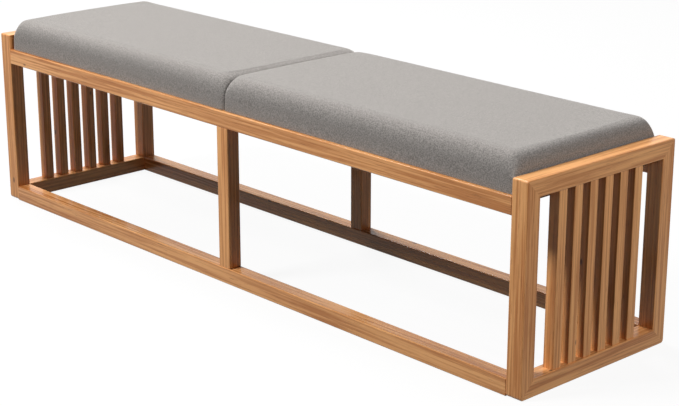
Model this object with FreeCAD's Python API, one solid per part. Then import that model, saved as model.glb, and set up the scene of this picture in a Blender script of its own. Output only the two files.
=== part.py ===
"""Bed bench: two slatted end frames, four long rails, two middle posts and two loose seat pads.

Millimetres. X runs along the bench, Y from front to rear, Z up. The origin is on the floor, under the middle.
"""

import FreeCAD, Part
import math
import os

Vector = FreeCAD.Vector
X_AXIS = Vector(1, 0, 0)
Y_AXIS = Vector(0, 1, 0)
Z_AXIS = Vector(0, 0, 1)

# The wooden frame as a whole
length = 1830.0
depth = 455.0
frame_height = 450.0
arris = 2.5
joint_chamfer = 1.0

# End frames: four mitred members each
frame_thickness = 40.0
post_width = 38.0
end_rail_height = 38.0
foot_radius = 8.0
head_radius = 4.0

# Slats in the end frames, with a stub tenon at each end
slat_count = 6
slat_width = 24.0
slat_depth = 26.0
slat_pitch = 46.8
slat_setback = 4.0
slat_arris = 1.5
slat_shoulder = 5.0
slat_tenon_length = 14.0

# Long rails between the end frames
rail_depth = 37.0
upper_rail_height = 38.0
lower_rail_height = 38.0

# Middle posts between the lower and the upper rails
middle_post_width = 38.0
middle_post_depth = 35.0

# Cross bearers between the upper rails, under the pads
bearer_count = 5
bearer_width = 50.0
bearer_height = 24.0
bearer_end_gap = 5.0
bearer_arris = 1.0
bearer_shoulder = 6.0
bearer_tenon_length = 12.0

# Fit of the wooden joints
tenon_clearance = 0.1
tenon_end_gap = 1.0
dowel_clearance = 0.1
dowel_end_gap = 1.0

# Beech dowels
dowel_diameter = 8.0
mitre_dowel_length = 28.0
mitre_dowel_setback = 11.0
rail_dowel_length = 44.0
rail_dowel_edge = 11.0
middle_dowel_length = 32.0
middle_dowel_spacing = 15.0

# Seat pads: outline, upright sides, and the shoulders that rise from them to the crown
pad_setback = 6.0
pad_end_gap = 4.0
pad_seam_gap = 0.8
pad_seat_clearance = 0.3
pad_height = 75.8
pad_side_height = 34.0
pad_side_lean = 2.0
pad_draw_in = 2.0
pad_crown = 3.0
pad_shoulder = 28.0
pad_end_shoulder = 28.0
pad_corner = 10.0
pad_corner_run = 5.0
seam_corner = 5.0
seam_corner_run = 4.0
seam_dip_share = 0.3
seam_dip_run = 9.0
# Points of a shoulder, as shares of its reach from the side
shoulder_point_shares = [0.1, 0.3, 0.6, 0.95]
# Cross sections, as shares of the pad's length from the seam and from the end frame
seam_station_shares = [0.0, 0.004, 0.010, 0.021, 0.045, 0.100, 0.220]
frame_station_shares = [0.42, 0.29, 0.185, 0.115, 0.071, 0.048, 0.034, 0.023, 0.014, 0.007, 0.002, 0.0]
pad_loft_degree = 3

# What a pad is made of
cover_thickness = 1.5
cover_flap = 50.0
cover_clearance = 0.2
board_thickness = 12.0
board_inset = 6.0
board_corner = 10.0
dust_cloth_thickness = 0.8
dust_cloth_margin = 1.0

# Battens under a pad, and their countersunk screws
batten_width = 32.0
batten_height = 15.0
batten_clearance = 1.5
batten_arris = 2.0
screw_length = 24.0
screw_diameter = 4.0
screw_head_diameter = 8.0
screw_head_height = 2.5
screw_edge = 31.5
screws_per_batten = 3
screw_clearance = 0.1

# How far a cutting tool runs past the piece, and how far a mitre's cut does as a share of the mitre
overrun = 5.0
mitre_overrun_share = 0.2
parallel_share = 1e-6

# Levels and faces that several pieces share
outer_face = length / 2
inner_face = outer_face - frame_thickness
front_face = -depth / 2
rear_face = depth / 2
seat_level = frame_height - end_rail_height
pad_bottom = seat_level + pad_seat_clearance
board_bottom = pad_bottom + cover_thickness
rail_inner_face = rear_face - rail_depth
bearer_reach = inner_face - bearer_end_gap - bearer_width / 2
pad_half_depth = rear_face - pad_setback
pad_inner_end = pad_seam_gap / 2
pad_outer_end = inner_face - pad_end_gap


def block(low, high):
    """A box between two corners."""
    size = high - low
    return Part.makeBox(size.x, size.y, size.z, low)


def along(run, axis):
    """Whether a vector runs along an axis."""
    return run.cross(axis).Length <= parallel_share * run.Length


def edges_along(shape, axis):
    """The straight edges of a shape that run along an axis."""
    return [edge for edge in shape.Edges if along(edge.Vertexes[-1].Point - edge.Vertexes[0].Point, axis)]


def end_edges(shape, axis):
    """The edges round the flat faces that look along an axis."""
    ends = [face for face in shape.Faces if along(face.normalAt(0, 0), axis)]
    return [edge for face in ends for edge in face.Edges]


def bar(low, high, axis, ease):
    """A wooden bar with its four long edges rounded."""
    stock = block(low, high)
    return stock.makeFillet(ease, edges_along(stock, axis))


def butted(shape, axis):
    """A bar whose end edges are chamfered, so that a fine groove shows at its joints."""
    return shape.makeChamfer(joint_chamfer, end_edges(shape, axis))


def fitted(shape, holes):
    """A piece with the dowel holes and mortises that reach it."""
    near = [hole for hole in holes if hole.BoundBox.intersect(shape.BoundBox)]
    return shape.cut(near) if near else shape


def mirrored(shape):
    """The same piece at the other end of the bench."""
    return shape.mirror(Vector(), X_AXIS)


def pin(centre, direction, diameter, span):
    """A round pin about a centre."""
    return Part.makeCylinder(diameter / 2, span, centre - direction * (span / 2), direction)


def dowel(centre, direction, span):
    """A dowel and the hole for it."""
    hole = pin(centre, direction, dowel_diameter + 2 * dowel_clearance, span + 2 * dowel_end_gap)
    return pin(centre, direction, dowel_diameter, span), hole


def frame_corners(inset_y, inset_z):
    """Corners of an end frame's outline, front bottom first, then rear bottom, rear top and front top."""
    low, high = inset_z, frame_height - inset_z
    front, rear = front_face + inset_y, rear_face - inset_y
    return [Vector(0, front, low), Vector(0, rear, low), Vector(0, rear, high), Vector(0, front, high)]


outer_corners = frame_corners(0, 0)
inner_corners = frame_corners(post_width, end_rail_height)


def end_frame_ring():
    """A whole end frame before it is parted at the mitres: corners rounded, arrises eased."""
    slab = block(Vector(inner_face, front_face, 0), Vector(outer_face, rear_face, frame_height))
    feet = [edge for edge in edges_along(slab, X_AXIS) if edge.CenterOfMass.z < seat_level]
    slab = slab.makeFillet(foot_radius, feet)
    heads = [edge for edge in edges_along(slab, X_AXIS) if edge.CenterOfMass.z > seat_level]
    slab = slab.makeFillet(head_radius, heads)
    inside, outside = X_AXIS * (inner_face - overrun), X_AXIS * (outer_face + overrun)
    ring = slab.cut(block(inside + inner_corners[0], outside + inner_corners[2]))
    return ring.makeFillet(arris, end_edges(ring, X_AXIS))


def mitred_member(ring, first):
    """The member of an end frame from one corner to the next, cut on both mitres."""
    points = []
    for corner in (first, (first + 1) % len(outer_corners)):
        past = (outer_corners[corner] - inner_corners[corner]) * mitre_overrun_share
        points.append((outer_corners[corner] + past, inner_corners[corner] - past))
    (outer_a, inner_a), (outer_b, inner_b) = points
    start = Vector(inner_face - overrun, 0, 0)
    outline = Part.makePolygon([start + p for p in (outer_a, outer_b, inner_b, inner_a, outer_a)])
    return ring.common(Part.Face(outline).extrude(X_AXIS * (frame_thickness + 2 * overrun)))


def mitre_dowels():
    """One dowel across each mitre of the right end frame, near the outer face, with its hole."""
    made = []
    for outer, inner in zip(outer_corners, inner_corners):
        run = inner - outer
        across = Vector(0, -run.z, run.y).normalize()
        centre = (outer + inner) / 2 + X_AXIS * (outer_face - mitre_dowel_setback)
        made.append(dowel(centre, across, mitre_dowel_length))
    return made


def slat_places():
    """Middles of the slats, front to rear."""
    return [(i - (slat_count - 1) / 2) * slat_pitch for i in range(slat_count)]


def slat_core(y, clearance, end_gap):
    """The square core that runs through a slat and makes its two tenons, or the mortises for them."""
    reach = slat_tenon_length + end_gap
    high_x = outer_face - slat_setback - slat_shoulder + clearance
    low_x = outer_face - slat_setback - slat_depth + slat_shoulder - clearance
    half = slat_width / 2 - slat_shoulder + clearance
    low = Vector(low_x, y - half, end_rail_height - reach)
    return block(low, Vector(high_x, y + half, seat_level + reach))


def slat(y):
    """One slat of the right end frame."""
    outside = outer_face - slat_setback
    low = Vector(outside - slat_depth, y - slat_width / 2, end_rail_height)
    high = Vector(outside, y + slat_width / 2, seat_level)
    return bar(low, high, Z_AXIS, slat_arris).fuse(slat_core(y, 0, 0))


def rail_corners(side, level):
    """Front low and rear high corner of a long rail's section, and its span in height."""
    front = front_face if side == "front" else rail_inner_face
    spans = {"upper": (seat_level - upper_rail_height, seat_level), "lower": (0, lower_rail_height)}
    return front, front + rail_depth, *spans[level]


def rail_dowels():
    """Two dowels at each end of each long rail: near its outer top edge and near its inner bottom edge."""
    made = []
    for side in ("front", "rear"):
        for level in ("upper", "lower"):
            front, rear, bottom, top = rail_corners(side, level)
            outside, inside = front + rail_dowel_edge, rear - rail_dowel_edge
            if side == "rear":
                outside, inside = inside, outside
            for end in (-inner_face, inner_face):
                for y, z in ((outside, top - rail_dowel_edge), (inside, bottom + rail_dowel_edge)):
                    made.append(dowel(Vector(end, y, z), X_AXIS, rail_dowel_length))
    return made


def middle_post_dowels():
    """Two dowels at each end of each middle post."""
    made = []
    for side in ("front", "rear"):
        front, rear, _, _ = rail_corners(side, "upper")
        for z in (lower_rail_height, seat_level - upper_rail_height):
            for offset in (-middle_dowel_spacing / 2, middle_dowel_spacing / 2):
                centre = Vector(0, (front + rear) / 2 + offset, z)
                made.append(dowel(centre, Z_AXIS, middle_dowel_length))
    return made


def long_rail(side, level):
    """One long rail, between the end frames."""
    front, rear, bottom, top = rail_corners(side, level)
    low, high = Vector(-inner_face, front, bottom), Vector(inner_face, rear, top)
    return butted(bar(low, high, X_AXIS, arris), X_AXIS)


def middle_post(side):
    """One middle post, centred on the depth of its rails."""
    front, rear, _, _ = rail_corners(side, "upper")
    middle = (front + rear) / 2
    low = Vector(-middle_post_width / 2, middle - middle_post_depth / 2, lower_rail_height)
    high = Vector(middle_post_width / 2, middle + middle_post_depth / 2, seat_level - upper_rail_height)
    return butted(bar(low, high, Z_AXIS, arris), Z_AXIS)


def bearer_places():
    """Middles of the cross bearers, evenly spaced between the end frames."""
    step = 2 * bearer_reach / (bearer_count - 1)
    return [i * step - bearer_reach for i in range(bearer_count)]


def bearer_core(x, clearance, end_gap):
    """The flat core that runs through a bearer and makes its two tenons, or the mortises for them."""
    reach = rail_inner_face + bearer_tenon_length + end_gap
    half = bearer_width / 2 - bearer_shoulder + clearance
    bottom = seat_level - bearer_height + bearer_shoulder - clearance
    top = seat_level - bearer_shoulder + clearance
    return block(Vector(x - half, -reach, bottom), Vector(x + half, reach, top))


def bearer(x):
    """One cross bearer, flush with the tops of the upper rails."""
    low = Vector(x - bearer_width / 2, -rail_inner_face, seat_level - bearer_height)
    high = Vector(x + bearer_width / 2, rail_inner_face, seat_level)
    return bar(low, high, Y_AXIS, bearer_arris).fuse(bearer_core(x, 0, 0))


def eased(distance, run):
    """How far a curve has settled at a distance from its start: 0 there, close to 1 a few runs on."""
    return 1 - math.exp(-distance / run)


def rounded(share):
    """Height of a quarter ellipse, as a share of its rise, at a share of its reach."""
    return math.sqrt(1 - (1 - min(share, 1)) ** 2)


def pad_section(x, inset, from_seam, from_frame):
    """A cross section of the right pad: underside, two sides, two arcs over each shoulder, and the crown."""
    middle_share = 4 * from_seam * from_frame / (from_seam + from_frame) ** 2
    half = pad_half_depth - inset - pad_draw_in * middle_share
    half -= seam_corner * (1 - eased(from_seam, seam_corner_run))
    half -= pad_corner * (1 - eased(from_frame, pad_corner_run))
    bottom, side_top = pad_bottom + inset, pad_bottom + pad_side_height
    full_rise = pad_height - pad_side_height - inset
    rise = full_rise * rounded((from_frame + pad_side_lean) / pad_end_shoulder)
    rise *= 1 - seam_dip_share * (1 - eased(from_seam, seam_dip_run))
    crown = pad_crown * rise / full_rise
    side = half - pad_side_lean
    points = [(half, bottom), (side, side_top)]
    for share in shoulder_point_shares:
        points.append((side - share * pad_shoulder, side_top + (rise - crown) * rounded(share)))
    right = [Vector(x, y, z) for y, z in points]
    left = [Vector(x, -y, z) for y, z in points]
    peak = Vector(x, 0, side_top + rise)
    return Part.Wire([
        Part.LineSegment(left[0], right[0]).toShape(),
        Part.LineSegment(right[0], right[1]).toShape(),
        Part.Arc(right[1], right[2], right[3]).toShape(),
        Part.Arc(right[3], right[4], right[5]).toShape(),
        Part.Arc(right[5], peak, left[5]).toShape(),
        Part.Arc(left[5], left[4], left[3]).toShape(),
        Part.Arc(left[3], left[2], left[1]).toShape(),
        Part.LineSegment(left[1], left[0]).toShape(),
    ])


def pad_form(inset):
    """The crowned form of the right pad, taken in by an inset on every side."""
    low, high = pad_inner_end + inset, pad_outer_end - inset
    span = high - low
    stations = [share * span for share in seam_station_shares]
    stations += [span - share * span for share in frame_station_shares]
    sections = [pad_section(low + station, inset, station, span - station) for station in stations]
    return Part.makeLoft(sections, True, False, False, pad_loft_degree)


def pad_window(margin):
    """Corners, in plan, of the opening that the turned-under cover leaves on a pad's underside."""
    low = Vector(pad_inner_end + cover_flap + margin, -pad_half_depth + cover_flap + margin, 0)
    return low, Vector(pad_outer_end - cover_flap - margin, -low.y, 0)


def pad_cover():
    """The fabric cover: a skin over the whole pad, turned under the board on all four sides."""
    low, high = pad_window(0)
    window = block(low + Z_AXIS * (pad_bottom - overrun), high + Z_AXIS * (board_bottom + cover_clearance))
    return pad_form(0).cut(pad_form(cover_thickness)).cut(window)


def pad_foam():
    """The foam block on the board, just clear of the cover."""
    board_top = board_bottom + board_thickness
    low = Vector(pad_inner_end - overrun, -rear_face, pad_bottom)
    high = Vector(outer_face, rear_face, board_top)
    return pad_form(cover_thickness + cover_clearance).cut(block(low, high))


def pad_board():
    """The plywood board, with rounded corners."""
    low = Vector(pad_inner_end + board_inset, -pad_half_depth + board_inset, board_bottom)
    high = Vector(pad_outer_end - board_inset, -low.y, board_bottom + board_thickness)
    return bar(low, high, Z_AXIS, board_corner)


def pad_dust_cloth():
    """The thin cloth that closes the underside inside the turned-under cover."""
    low, high = pad_window(dust_cloth_margin)
    return block(low + Z_AXIS * (board_bottom - dust_cloth_thickness), high + Z_AXIS * board_bottom)


def batten_places():
    """Middles of the right pad's battens: halfway between the bearers under it."""
    under = [x for x in bearer_places() if x >= 0]
    return [(a + b) / 2 for a, b in zip(under, under[1:])]


def batten(x):
    """One batten, which drops between the upper rails."""
    reach = rail_inner_face - batten_clearance
    low = Vector(x - batten_width / 2, -reach, pad_bottom - batten_height)
    return bar(low, Vector(x + batten_width / 2, reach, pad_bottom), Y_AXIS, batten_arris)


def screw(x, y, clearance):
    """One countersunk screw, driven up through a batten into the board, or the hole for it."""
    foot = Vector(x, y, pad_bottom - batten_height)
    radius = screw_diameter / 2 + clearance
    head = Part.makeCone(screw_head_diameter / 2 + clearance, radius, screw_head_height, foot, Z_AXIS)
    return head.fuse(Part.makeCylinder(radius, screw_length + clearance, foot, Z_AXIS))


def pad_screws(clearance):
    """All the screws of the right pad, or their holes."""
    outermost = pad_half_depth - cover_flap - screw_edge
    step = 2 * outermost / (screws_per_batten - 1)
    offsets = [i * step - outermost for i in range(screws_per_batten)]
    return [screw(x, y, clearance) for x in batten_places() for y in offsets]


def end_frame_pieces():
    """The right end frame's pieces by name, and the dowels across its mitres."""
    dowels = mitre_dowels()
    holes = [hole for _, hole in dowels + rail_dowels()]
    holes += [slat_core(y, tenon_clearance, tenon_end_gap) for y in slat_places()]
    ring = end_frame_ring()
    members = ("bottom_rail", "rear_post", "top_rail", "front_post")
    pieces = {name: fitted(mitred_member(ring, i), holes) for i, name in enumerate(members)}
    for number, y in enumerate(slat_places(), 1):
        pieces[f"slat_{number}"] = slat(y)
    return pieces, [piece for piece, _ in dowels]


def middle_pieces():
    """The long rails, middle posts and bearers by name, with the dowels that join them."""
    posts, rails = middle_post_dowels(), rail_dowels()
    holes = [hole for _, hole in posts + rails]
    holes += [bearer_core(x, tenon_clearance, tenon_end_gap) for x in bearer_places()]
    pieces = {}
    for side in ("front", "rear"):
        for level in ("upper", "lower"):
            pieces[f"{side}_{level}_rail"] = fitted(long_rail(side, level), holes)
        pieces[f"{side}_middle_post"] = fitted(middle_post(side), holes)
    for number, x in enumerate(bearer_places(), 1):
        pieces[f"seat_bearer_{number}"] = bearer(x)
    pieces["rail_dowels"] = Part.makeCompound([piece for piece, _ in rails])
    pieces["middle_post_dowels"] = Part.makeCompound([piece for piece, _ in posts])
    return pieces


def pad_pieces():
    """The right pad's pieces by name."""
    holes = pad_screws(screw_clearance)
    pieces = {
        "pad_cover": pad_cover(),
        "pad_foam": pad_foam(),
        "pad_board": fitted(pad_board(), holes),
        "pad_dust_cloth": fitted(pad_dust_cloth(), holes),
        "pad_screws": Part.makeCompound(pad_screws(0)),
    }
    for name, x in zip(("inner", "outer"), batten_places()):
        pieces[f"pad_{name}_batten"] = fitted(batten(x), holes)
    return pieces


def bench():
    """Every piece of the bench by name."""
    end_pieces, corner_dowels = end_frame_pieces()
    pieces = middle_pieces()
    for name, shape in {**end_pieces, **pad_pieces()}.items():
        pieces[f"right_{name}"] = shape
        pieces[f"left_{name}"] = mirrored(shape)
    pieces["mitre_dowels"] = Part.makeCompound(corner_dowels + [mirrored(piece) for piece in corner_dowels])
    return pieces


os.makedirs("parts", exist_ok=True)
for node, shape in bench().items():
    shape.exportStep(f"parts/{node}.step")
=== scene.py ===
"""Looks of the bed bench: lacquered wood, linen pads and the studio they stand in. Metres, CAD frame."""

import bpy
import numpy as np
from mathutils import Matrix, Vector


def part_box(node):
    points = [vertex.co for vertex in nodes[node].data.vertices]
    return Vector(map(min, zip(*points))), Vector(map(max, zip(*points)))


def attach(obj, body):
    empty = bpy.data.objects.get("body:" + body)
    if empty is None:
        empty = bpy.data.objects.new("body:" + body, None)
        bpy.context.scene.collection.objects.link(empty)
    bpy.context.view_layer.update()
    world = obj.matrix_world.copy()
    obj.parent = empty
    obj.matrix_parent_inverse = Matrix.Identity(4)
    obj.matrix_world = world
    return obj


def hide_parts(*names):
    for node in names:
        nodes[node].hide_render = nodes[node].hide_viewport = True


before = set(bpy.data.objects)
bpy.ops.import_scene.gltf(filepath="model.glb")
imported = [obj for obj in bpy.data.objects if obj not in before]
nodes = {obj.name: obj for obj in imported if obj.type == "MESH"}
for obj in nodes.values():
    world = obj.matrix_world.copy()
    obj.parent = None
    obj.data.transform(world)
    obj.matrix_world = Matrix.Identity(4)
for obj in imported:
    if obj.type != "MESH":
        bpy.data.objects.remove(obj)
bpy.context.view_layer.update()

# End frames: posts and short rails of honey-brown hardwood, mitred and dowelled at the corners.
# The grain runs along each member, and a satin lacquer lies over it.


class Shade:
    """A socket of a material's node tree. Sums and products of sockets add Math nodes."""

    def __init__(self, tree, socket=None):
        self.tree = tree
        self.socket = socket

    def node(self, kind, settings=(), sockets=(), out=0):
        """Adds a node, makes its settings, fills its sockets with values or links, and gives one output."""
        made = self.tree.nodes.new("ShaderNode" + kind)
        for key, value in dict(settings).items():
            setattr(made, key, value)
        for key, value in dict(sockets).items():
            if isinstance(value, Shade):
                self.tree.links.new(value.socket, made.inputs[key])
            else:
                made.inputs[key].default_value = value
        return Shade(self.tree, made.outputs[out]) if made.outputs else None

    def math(self, operation, first, second):
        return self.node("Math", {"operation": operation}, {0: first, 1: second})

    def __add__(self, other):
        return self.math("ADD", self, other)

    def __sub__(self, other):
        return self.math("SUBTRACT", self, other)

    def __rsub__(self, other):
        return self.math("SUBTRACT", other, self)

    def __mul__(self, other):
        return self.math("MULTIPLY", self, other)

    def between(self, low, high):
        """0 below low, 1 above high, smooth between."""
        return self.node("MapRange", {"interpolation_type": "SMOOTHSTEP"}, {0: self, 1: low, 2: high})

    def tint(self, dark, light):
        """A colour that goes from dark to light as the value goes from 0 to 1."""
        return self.node("Mix", {"data_type": "RGBA"}, {0: self, 6: (*dark, 1), 7: (*light, 1)}, out=2)

    def over(self, colour, other):
        """One colour laid over another where the value is 1."""
        return self.node("Mix", {"data_type": "RGBA"}, {0: self, 6: other, 7: (*colour, 1)}, out=2)


def new_material(name):
    """A material with an empty tree, and the Shade that adds nodes to it."""
    material = bpy.data.materials.new(name)
    material.use_nodes = True
    material.node_tree.nodes.clear()
    return material, Shade(material.node_tree)


def shown(shade, surface):
    """Leads a shader to the material's output."""
    shade.node("OutputMaterial", sockets={"Surface": surface})


def grained(shade, grain, along, across, detail=2.0, kind="TexNoise"):
    """Noise stretched along a member: so many features a metre along its grain, and so many across it."""
    place = shade.node("TexCoord", out=3)
    scale = [along if axis == grain else across for axis in "XYZ"]
    place = shade.node("Mapping", sockets={"Vector": place, "Scale": scale})
    sockets = {"Vector": place, "Scale": 1.0}
    if kind == "TexNoise":
        sockets["Detail"] = detail
    return shade.node(kind, sockets=sockets)


wood_dark = (0.465, 0.158, 0.036)
wood_light = (0.905, 0.464, 0.184)
pore_brown = (0.250, 0.085, 0.020)
knot_brown = (0.075, 0.026, 0.010)


def honey_wood(name, grain, tone=0.0, dullness=0.34, lacquer=0.12):
    """Lacquered hardwood: broad bands, crisp streaks, short dark pores and a few pin knots."""
    material, shade = new_material(name)
    bands = grained(shade, grain, 1.2, 30)
    streaks = grained(shade, grain, 4, 190, 4.0).between(0.34, 0.66)
    fibres = grained(shade, grain, 14, 800)
    pores = grained(shade, grain, 26, 640, 3.0).between(0.60, 0.72)
    knots = 1 - grained(shade, grain, 7, 15, kind="TexVoronoi").between(0.03, 0.075)
    figure = bands * 0.7 + streaks * 0.42 + fibres * 0.3 + (tone - 0.21)
    colour = figure.between(0.05, 0.95).tint(wood_dark, wood_light)
    colour = (pores * 0.55).over(pore_brown, colour)
    colour = (knots * 0.85).over(knot_brown, colour)
    relief = streaks * 0.4 + fibres * 0.5 - pores * 0.6 - knots * 0.5
    bump = shade.node("Bump", sockets={"Strength": 0.14, "Distance": 0.0006, "Height": relief})
    rough = (streaks - 0.5) * 0.1 + dullness
    surface = shade.node("BsdfPrincipled", sockets={
        "Base Color": colour, "Roughness": rough, "Normal": bump, "Specular IOR Level": 0.2,
        "Coat Weight": lacquer, "Coat Roughness": 0.1,
    })
    shown(shade, surface)
    return material


def dress(material, *names):
    """Gives CAD nodes a material."""
    for name in names:
        mesh = nodes[name].data
        mesh.materials.clear()
        mesh.materials.append(material)


sides = ("left", "right")
post_wood = honey_wood("post_wood", "Z")
end_rail_wood = honey_wood("end_rail_wood", "Y", tone=0.02)
dress(post_wood, *(f"{side}_{place}_post" for side in sides for place in ("front", "rear")))
dress(end_rail_wood, *(f"{side}_{place}_rail" for side in sides for place in ("top", "bottom")))

# Slats: six upright bars in each end frame, of the same hardwood, with stub tenons in the short rails.
# Their lacquer is rubbed a little duller than on the frame.
slat_wood = honey_wood("slat_wood", "Z", tone=0.02, dullness=0.4)
dress(slat_wood, *(f"{side}_slat_{number}" for side in sides for number in range(1, 7)))

# Long rails: four bars of the same hardwood from end frame to end frame, dowelled to the posts.
# The lower two lie on the floor, and the upper two carry the pads. Their lacquer is the glossiest.
long_rail_wood = honey_wood("long_rail_wood", "X", tone=-0.03, dullness=0.28, lacquer=0.18)
for level in ("upper", "lower"):
    dress(long_rail_wood, f"front_{level}_rail", f"rear_{level}_rail")

# Middle posts: two uprights between the long rails, dowelled top and bottom.
# They share the posts' wood and lacquer.
dress(post_wood, "front_middle_post", "rear_middle_post")


# Seat bearers and pad battens: plain planed softwood out of sight under the pads, with no lacquer.
# Bearers are tenoned between the upper rails, and battens are screwed to the pads' boards.
def plain_wood(name, grain, dark, light):
    """Planed bare wood: soft bands and fine fibres along the grain."""
    material, shade = new_material(name)
    bands = grained(shade, grain, 1.6, 46)
    fibres = grained(shade, grain, 12, 600)
    colour = (bands * 0.75 + fibres * 0.25).between(0.3, 0.7).tint(dark, light)
    bump = shade.node("Bump", sockets={"Strength": 0.2, "Distance": 0.0005, "Height": fibres})
    rough = fibres * 0.15 + 0.6
    sockets = {"Base Color": colour, "Roughness": rough, "Normal": bump}
    shown(shade, shade.node("BsdfPrincipled", sockets=sockets))
    return material


bearer_wood = plain_wood("bearer_wood", "Y", (0.36, 0.22, 0.11), (0.56, 0.38, 0.20))
dress(bearer_wood, *(f"seat_bearer_{number}" for number in range(1, 6)))
batten_wood = plain_wood("batten_wood", "Y", (0.42, 0.28, 0.15), (0.62, 0.45, 0.26))
dress(batten_wood, *(f"{side}_pad_{place}_batten" for side in sides for place in ("inner", "outer")))

# Dowels: beech pins glued into the joints, hidden once the bench is together.
# All share one material, with its grain drawn along X as on the dowels of the long rails.
dowel_wood = plain_wood("dowel_wood", "X", (0.55, 0.38, 0.22), (0.70, 0.53, 0.34))
dress(dowel_wood, "mitre_dowels", "rail_dowels", "middle_post_dowels")

# Pad boards: plywood under the foam, rounded at the corners; the cover is turned under it.
# Only its drilled underside could be seen, and the dust cloth closes that.
board_wood = plain_wood("board_wood", "X", (0.50, 0.34, 0.19), (0.66, 0.50, 0.31))
dress(board_wood, "left_pad_board", "right_pad_board")


# Dust cloths: thin black non-woven sheets, stapled over the underside inside the turned-under cover.
# Their pressed dots make a fine regular relief.
def dust_cloth_material():
    """Matt black felt with small pressed dots."""
    material, shade = new_material("dust_cloth")
    place = shade.node("TexCoord", out=3)
    dots = shade.node("TexVoronoi", sockets={"Vector": place, "Scale": 420.0, "Randomness": 0.25})
    colour = dots.between(0.1, 0.6).tint((0.010, 0.010, 0.011), (0.028, 0.028, 0.030))
    bump = shade.node("Bump", sockets={"Strength": 0.4, "Distance": 0.0004, "Height": dots})
    sockets = {"Base Color": colour, "Roughness": 0.9, "Normal": bump}
    shown(shade, shade.node("BsdfPrincipled", sockets=sockets))
    return material


dress(dust_cloth_material(), "left_pad_dust_cloth", "right_pad_dust_cloth")


# Batten screws: countersunk zinc-plated steel, driven up through the battens into the boards.
# The heads lie flush with the battens' undersides.
def screw_material():
    """Dull plated steel with faint blotches."""
    material, shade = new_material("screw_steel")
    place = shade.node("TexCoord", out=3)
    blotch = shade.node("TexNoise", sockets={"Vector": place, "Scale": 900.0})
    colour = blotch.tint((0.42, 0.42, 0.43), (0.60, 0.60, 0.61))
    rough = blotch * 0.2 + 0.28
    sockets = {"Base Color": colour, "Roughness": rough, "Metallic": 1.0}
    shown(shade, shade.node("BsdfPrincipled", sockets=sockets))
    return material


dress(screw_material(), "left_pad_screws", "right_pad_screws")

# Seat pads: foam on a board, wrapped in taut grey-brown linen that is turned under the board and stapled.
# Each has upright sides, soft shoulders to a low crown, and a nearly square end at the seam between them.
pad_side_height = 0.034
pad_side_lean = 0.002
pad_draw_in = 0.002
pad_crown = 0.003
pad_shoulder = 0.028
pad_corner = 0.003
pad_corner_run = 0.004
seam_shoulders = {"left": 0.0, "right": 0.024}
seam_shoulder_run = 0.020
seam_corners = {"left": 0.005, "right": 0.002}
seam_corner_run = 0.004
seam_dips = {"left": (0.34, 0.009), "right": (0.12, 0.005)}
pad_start_inset = 0.0015
pad_swell = 0.004
pad_loft = 0.003
pad_end_swell = 0.002
cloth_steps = 20
push_passes = 30
pad_cell = 0.005
cell_crowding = 0.8
cover_flap = 0.050
flap_thickness = 0.0016
linen_dark = (0.165, 0.153, 0.143)
linen_light = (0.310, 0.288, 0.270)


def eased(distance, run):
    """How far a curve has settled at a distance: 1 less the exponential of minus distance over run."""
    return 1 - np.exp(-distance / run)


def rounded(share):
    """Height of a quarter ellipse, as a share of its rise, at a share of its reach."""
    return np.sqrt(1 - (1 - np.clip(share, 0, 1)) ** 2)


def crowded(count):
    """Places from 0 to 1, closer together near both ends: a straight ramp less one wave of a sine."""
    ramp = np.linspace(0, 1, count)
    return ramp - cell_crowding * np.sin(2 * np.pi * ramp) / (2 * np.pi)


def box_grid(counts):
    """Points of a unit box's surface, as three shares each, with faces that share their edges' points."""
    shares = np.stack(np.meshgrid(*[crowded(n + 1) for n in counts], indexing="ij"), -1)
    index = np.arange(shares[..., 0].size).reshape(shares.shape[:3])
    quads = []
    for axis in range(3):
        for end, flip in ((0, axis != 1), (-1, axis == 1)):
            face = np.take(index, end, axis)
            corners = [face[:-1, :-1], face[1:, :-1], face[1:, 1:], face[:-1, 1:]]
            quads.append(np.stack(corners[::-1] if flip else corners, -1).reshape(-1, 4))
    quads = np.concatenate(quads)
    used, quads = np.unique(quads, return_inverse=True)
    return shares.reshape(-1, 3)[used], quads.reshape(-1, 4)


def pad_points(shares, side, low, high):
    """Places on a pad for shares along it from the seam, across it, and up it.

    Across, the sides lean in a little, stand in at mid-length and round in at the ends. Up, the top rises
    from the sides and from the outer end as a quarter ellipse to a low parabola, and dips at the seam as an
    eased curve.
    """
    along, across, up = shares.T
    span, half_depth = high.x - low.x, high.y
    seam, end = along * span, (1 - along) * span
    dip_share, dip_run = seam_dips[side]
    half = half_depth - pad_draw_in * 4 * along * (1 - along)
    half = half - seam_corners[side] * (1 - eased(seam, seam_corner_run))
    half = half - pad_corner * (1 - eased(end, pad_corner_run))
    rise = high.z - low.z - pad_side_height
    rise = rise * rounded((end + pad_side_lean) / pad_shoulder)
    rise = rise * (1 - dip_share * (1 - eased(seam, dip_run)))
    side_of = 2 * across - 1
    inset = (1 - np.abs(side_of)) * (half - pad_side_lean)
    reach = pad_shoulder + seam_shoulders[side] * (1 - eased(seam, seam_shoulder_run))
    top = pad_side_height + rise * rounded(inset / reach) - pad_crown * side_of ** 2
    top = np.maximum(top, pad_side_height)
    height = up * top
    y = side_of * (half - pad_side_lean * np.minimum(height / pad_side_height, 1))
    return np.stack([low.x + seam, y, low.z + height], -1)


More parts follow.
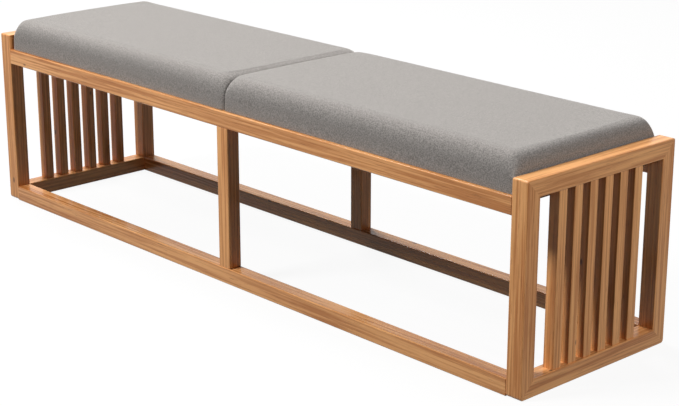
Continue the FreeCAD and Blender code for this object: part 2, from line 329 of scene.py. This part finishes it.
def puffed(pad, start, pinned, most):
    """Blows a closed mesh up as cloth with its underside held.

    The foam keeps each point from going inwards, and the way that it goes outwards is averaged with its
    neighbours'.
    """
    group = pad.vertex_groups.new(name="held")
    group.add(np.flatnonzero(pinned).tolist(), 1.0, "REPLACE")
    cloth = pad.modifiers.new("Cloth", "CLOTH")
    cloth.settings.use_pressure = True
    cloth.settings.uniform_pressure_force = 4.0
    cloth.settings.tension_stiffness = 25.0
    cloth.settings.compression_stiffness = 25.0
    cloth.settings.bending_stiffness = 2.0
    cloth.settings.effector_weights.gravity = 0.0
    cloth.settings.vertex_group_mass = group.name
    cloth.point_cache.frame_start = 1
    cloth.point_cache.frame_end = cloth_steps
    for step in range(1, cloth_steps + 1):
        bpy.context.scene.frame_set(step)
    evaluated = pad.evaluated_get(bpy.context.evaluated_depsgraph_get())
    moved = np.empty(start.size, np.float32)
    evaluated.data.vertices.foreach_get("co", moved)
    pad.modifiers.remove(cloth)
    pad.vertex_groups.remove(group)
    bpy.context.scene.frame_set(1)
    outward = np.empty(start.size, np.float32)
    pad.data.vertex_normals.foreach_get("vector", outward)
    outward = outward.reshape(-1, 3)
    push = np.clip(np.sum((moved.reshape(-1, 3) - start) * outward, axis=1), 0, most)
    ends = np.empty(2 * len(pad.data.edges), np.int32)
    pad.data.edges.foreach_get("vertices", ends)
    here = np.concatenate([ends[0::2], ends[1::2]])
    there = np.concatenate([ends[1::2], ends[0::2]])
    for step in range(push_passes):
        push = (push + np.bincount(here, push[there]) / np.bincount(here)) / 2
    return start + outward * push[:, None]


def linen(name):
    """Grey-brown linen: crossed threads of uneven thickness, slubs, and a faint cloudiness in the dye."""
    material, shade = new_material(name)
    place = shade.node("TexCoord", out=3)
    warp = grained(shade, "X", 130, 1500)
    weft = grained(shade, "Y", 130, 1500)
    upright = grained(shade, "Z", 130, 1500)
    slubs = shade.node("TexNoise", sockets={"Vector": place, "Scale": 380.0, "Detail": 3.0})
    clouds = shade.node("TexNoise", sockets={"Vector": place, "Scale": 14.0, "Detail": 2.0})
    thread = (warp + weft + upright) * 0.333
    figure = thread * 0.6 + slubs * 1.7 + clouds * 0.06 - 0.68
    colour = figure.between(0.2, 0.8).tint(linen_dark, linen_light)
    bump = shade.node("Bump", sockets={"Strength": 0.5, "Distance": 0.0008, "Height": thread + slubs * 0.5})
    surface = shade.node("BsdfPrincipled", sockets={
        "Base Color": colour, "Roughness": 0.88, "Normal": bump, "Specular IOR Level": 0.15,
        "Sheen Weight": 1.0, "Sheen Roughness": 0.4, "Sheen Tint": (1.0, 0.955, 0.915, 1),
    })
    shown(shade, surface)
    return material


pad_linen = linen("pad_linen")
for side in sides:
    low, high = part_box("right_pad_cover")
    high += Vector((pad_end_swell, 0, pad_loft))
    inner_low = low + Vector((pad_start_inset, pad_start_inset, 0))
    inner_high = high - Vector((pad_start_inset, pad_start_inset, 0))
    size = high - low
    cells = [round(length / pad_cell) for length in (size.x, size.y, pad_side_height)]
    shares, quads = box_grid(cells)
    start = pad_points(shares, side, inner_low, inner_high)
    underside = shares[:, 2] == 0
    mesh = bpy.data.meshes.new(f"{side}_pad")
    mesh.from_pydata(start, [], quads)
    pad = bpy.data.objects.new(f"{side}_pad", mesh)
    bpy.context.scene.collection.objects.link(pad)
    points = np.clip(puffed(pad, start, underside, pad_swell), low, high)
    edge = np.minimum(points - np.array(low), np.array(high) - points)[:, :2].min(axis=1)
    points[:, 2] += np.where(underside & (edge > cover_flap), flap_thickness, 0)
    if side == "left":
        points[:, 0] *= -1
        mesh.flip_normals()
    mesh.vertices.foreach_set("co", points.astype(np.float32).ravel())
    mesh.polygons.foreach_set("use_smooth", np.ones(len(quads), bool))
    mesh.update()
    finer = pad.modifiers.new("Finer", "SUBSURF")
    finer.levels = finer.render_levels = 1
    mesh.materials.append(pad_linen)
    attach(pad, f"{side}_pad")
    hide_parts(f"{side}_pad_cover", f"{side}_pad_foam")

# Studio: a pale floor that runs off in white, under soft lamps at the upper left rear, front and right.
# The floor looks white to the camera and in gloss, throws little light back up, and keeps a soft shadow.
floor_reach = 12.0
floor_mesh = bpy.data.meshes.new("floor")
corner = np.array([(-1, -1, 0), (1, -1, 0), (1, 1, 0), (-1, 1, 0)]) * floor_reach
floor_mesh.from_pydata(corner, [], [(0, 1, 2, 3)])
floor = bpy.data.objects.new("floor", floor_mesh)
bpy.context.scene.collection.objects.link(floor)


def seen_plainly(shade):
    """1 for rays from the camera, off glossy surfaces and through glass, and 0 for all others."""
    straight = shade.node("LightPath", out=0)
    mirrored = shade.node("LightPath", out=3)
    through = shade.node("LightPath", out=6)
    return shade.math("MAXIMUM", shade.math("MAXIMUM", straight, mirrored), through)


floor_paint, shade = new_material("floor_paint")
bare = shade.node("BsdfDiffuse", sockets={"Color": (0.86, 0.86, 0.86, 1)})
dull = shade.node("BsdfDiffuse", sockets={"Color": (0.10, 0.10, 0.10, 1)})
white = shade.node("Emission", sockets={"Color": (1, 1, 1, 1), "Strength": 1.0})
whiteness = 0.92
seen = shade.node("MixShader", sockets={0: whiteness, 1: bare, 2: white})
shown(shade, shade.node("MixShader", sockets={0: seen_plainly(shade), 1: dull, 2: seen}))
floor_mesh.materials.append(floor_paint)

world = bpy.data.worlds.new("studio")
bpy.context.scene.world = world
world.use_nodes = True
world.node_tree.nodes.clear()
shade = Shade(world.node_tree)
fill = 0.04
strength = seen_plainly(shade) * (1 - fill) + fill
sky = shade.node("Background", sockets={"Color": (1, 1, 1, 1), "Strength": strength})
shade.node("OutputWorld", sockets={"Surface": sky})


def soft_light(name, place, aim, size, power):
    """A square area lamp at a place, turned towards a point."""
    lamp = bpy.data.lights.new(name, "AREA")
    lamp.size = size
    lamp.energy = power
    stand = bpy.data.objects.new(name, lamp)
    stand.location = place
    stand.rotation_euler = (Vector(aim) - Vector(place)).to_track_quat("-Z", "Y").to_euler()
    bpy.context.scene.collection.objects.link(stand)


soft_light("overhead", (-3.0, 1.0, 4.2), (0, 0, 0.4), 2.2, 230)
soft_light("front", (-1.2, -3.6, 4.2), (0, 0, 0.3), 1.5, 275)
soft_light("right", (4.7, 0.0, 2.8), (0.8, 0, 0.3), 0.7, 100)

# Camera: stands to the right of the front, about a metre above the seat, and looks down at the bench.
# Its place and lens come from fitting the bench's edges to the photograph.
image_width = 679
focal_pixels = 1707.3
camera_place = Vector((2.9216, -2.5622, 1.3798))
camera_aim = Vector((0.1540, -0.0055, 0.1835))
lens = bpy.data.cameras.new("camera")
lens.sensor_fit = "HORIZONTAL"
lens.lens = lens.sensor_width * focal_pixels / image_width
camera = bpy.data.objects.new("camera", lens)
camera.location = camera_place
camera.rotation_euler = (camera_aim - camera_place).to_track_quat("-Z", "Y").to_euler()
bpy.context.scene.collection.objects.link(camera)
bpy.context.scene.camera = camera
bpy.context.scene.view_settings.view_transform = "Standard"
